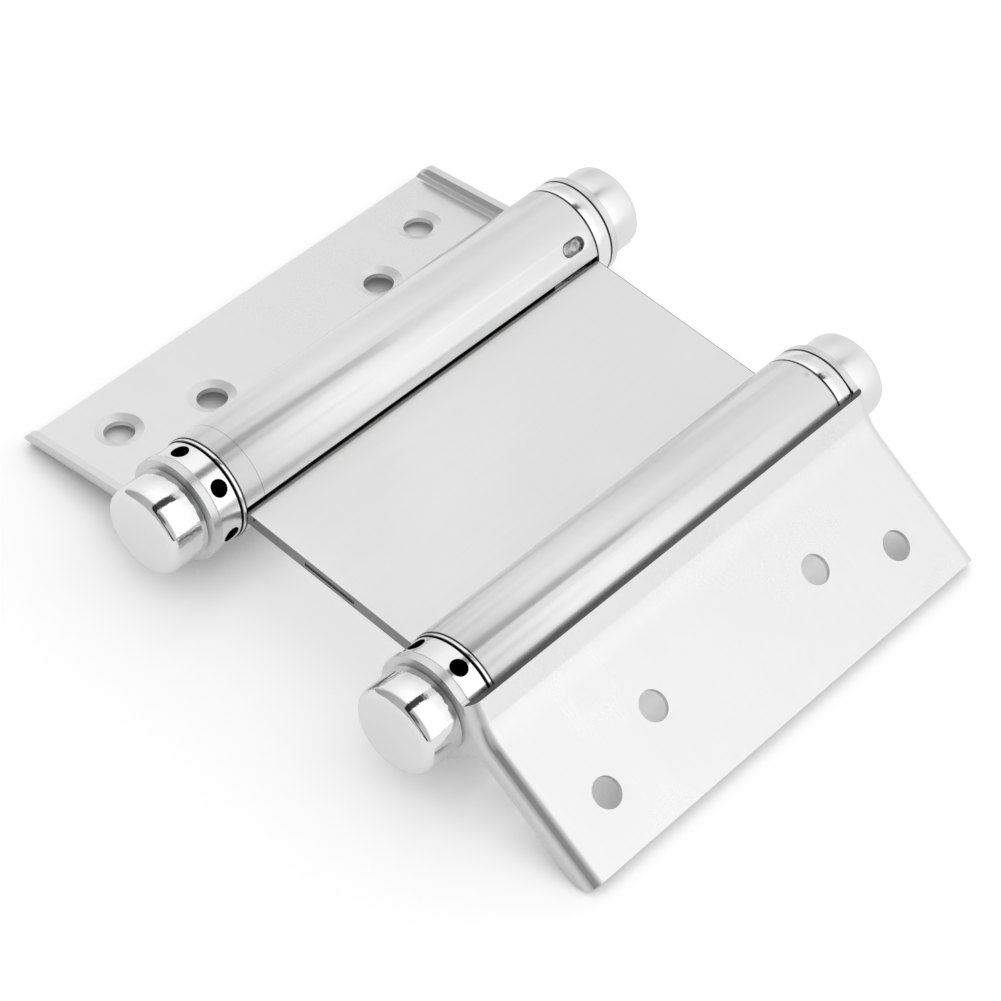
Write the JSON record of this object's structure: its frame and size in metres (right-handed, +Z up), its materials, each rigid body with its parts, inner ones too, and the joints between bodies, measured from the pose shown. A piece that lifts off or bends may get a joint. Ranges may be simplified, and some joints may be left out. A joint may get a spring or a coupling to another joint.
{
  "type": "double action spring hinge",
  "caption": "Double action spring hinge: folded sheet leaves on twin spring barrels joined by a flat double web, with drilled tension collars and round end caps.",
  "frame": {"origin": "on the surface the hinge lies on, below the middle between the two pin axes, at the middle of the leaves' length", "axes": "+Y along the pins from the tension collars towards the end plugs, +X from the left pin to the right pin, +Z up off the surface the hinge lies on"},
  "size_m": [0.1154, 0.1028, 0.0208],
  "materials": {
    "leaf_steel": "satin brushed stainless",
    "web_steel": "polished stainless sheet",
    "bright_plating": "bright",
    "plug_steel": "bright, lightly worn",
    "spring_wire": "oiled",
    "pin_steel": "plain"
  },
  "bodies": {
    "web": {"left_barrel_sheet": "web_steel", "left_end_plug": "plug_steel", "left_collar_washer": "plug_steel", "left_torsion_spring": "spring_wire", "right_barrel_sheet": "web_steel", "right_end_plug": "plug_steel", "right_collar_washer": "plug_steel", "right_torsion_spring": "spring_wire"},
    "left_leaf": {"left_leaf": "leaf_steel", "left_spindle": "pin_steel", "left_near_cap": "bright_plating", "left_far_cap": "bright_plating"},
    "left_collar": {"left_tension_collar": "bright_plating"},
    "right_leaf": {"right_leaf": "leaf_steel", "right_spindle": "pin_steel", "right_near_cap": "bright_plating", "right_far_cap": "bright_plating"},
    "right_collar": {"right_tension_collar": "bright_plating"}
  },
  "joints": [
    {"name": "left_leaf_hinge", "type": "hinge", "parent": "web", "child": "left_leaf", "pos_m": [-0.025, 0, 0.0123], "axis": [0, 1, 0], "range_deg": [-82, 190]},
    {"name": "left_collar_wind", "type": "hinge", "parent": "web", "child": "left_collar", "pos_m": [-0.025, 0, 0.0123], "axis": [0, 1, 0], "range_deg": [-180, 0], "stiffness_Nm_per_rad": 0.7, "deforming": ["left_torsion_spring"]},
    {"name": "right_leaf_hinge", "type": "hinge", "parent": "web", "child": "right_leaf", "pos_m": [0.025, 0, 0.0123], "axis": [0, 1, 0], "range_deg": [-121, 151.9]},
    {"name": "right_collar_wind", "type": "hinge", "parent": "web", "child": "right_collar", "pos_m": [0.025, 0, 0.0123], "axis": [0, 1, 0], "range_deg": [-180, 0], "stiffness_Nm_per_rad": 0.7, "deforming": ["right_torsion_spring"]}
  ]
}
